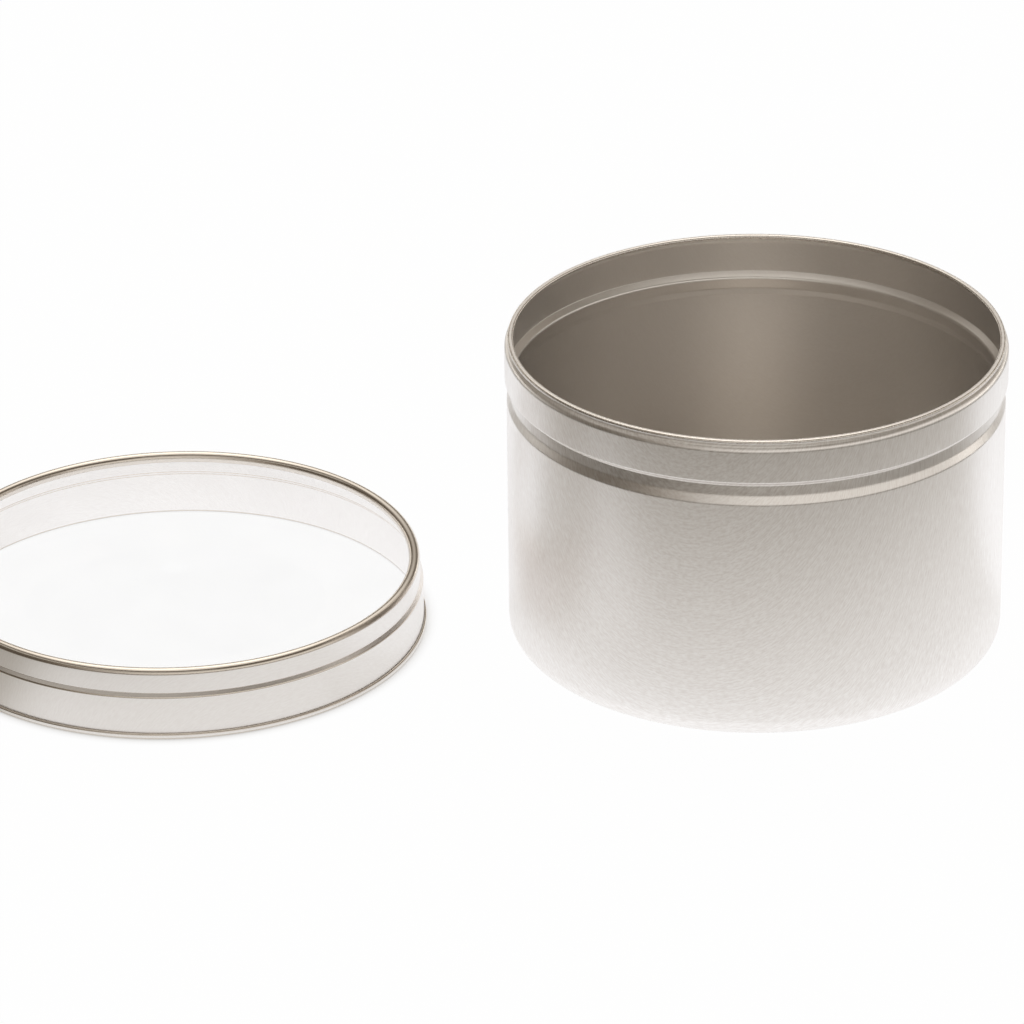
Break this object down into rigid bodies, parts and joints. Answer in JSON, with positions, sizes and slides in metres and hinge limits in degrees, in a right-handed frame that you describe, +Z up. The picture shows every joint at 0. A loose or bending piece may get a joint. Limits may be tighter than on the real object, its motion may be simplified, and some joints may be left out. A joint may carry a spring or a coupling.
{
  "type": "window lid tin",
  "caption": "Round seamless tin with a grooved neck and a rolled rim, its slip lid with a clear window lying beside it.",
  "frame": {"origin": "centre of the tin's standing ring, on the plane that the tin and the lid lie on", "axes": "+Z up along the tin's axis out of its mouth, +X from the lid towards the tin"},
  "size_m": [0.1817, 0.0848, 0.0538],
  "materials": {
    "tinplate": "satin tinplate with a fine short grain",
    "clear_window": "clear, glossy"
  },
  "bodies": {
    "tin": {"tin_body": "tinplate"},
    "lid": {"lid_ring": "tinplate", "lid_window": "clear_window"}
  },
  "joints": [
    {"name": "lid_lift", "type": "slide", "parent": "tin", "child": "lid", "axis": [0, 0, 1], "range_m": [0, 0.06]}
  ]
}
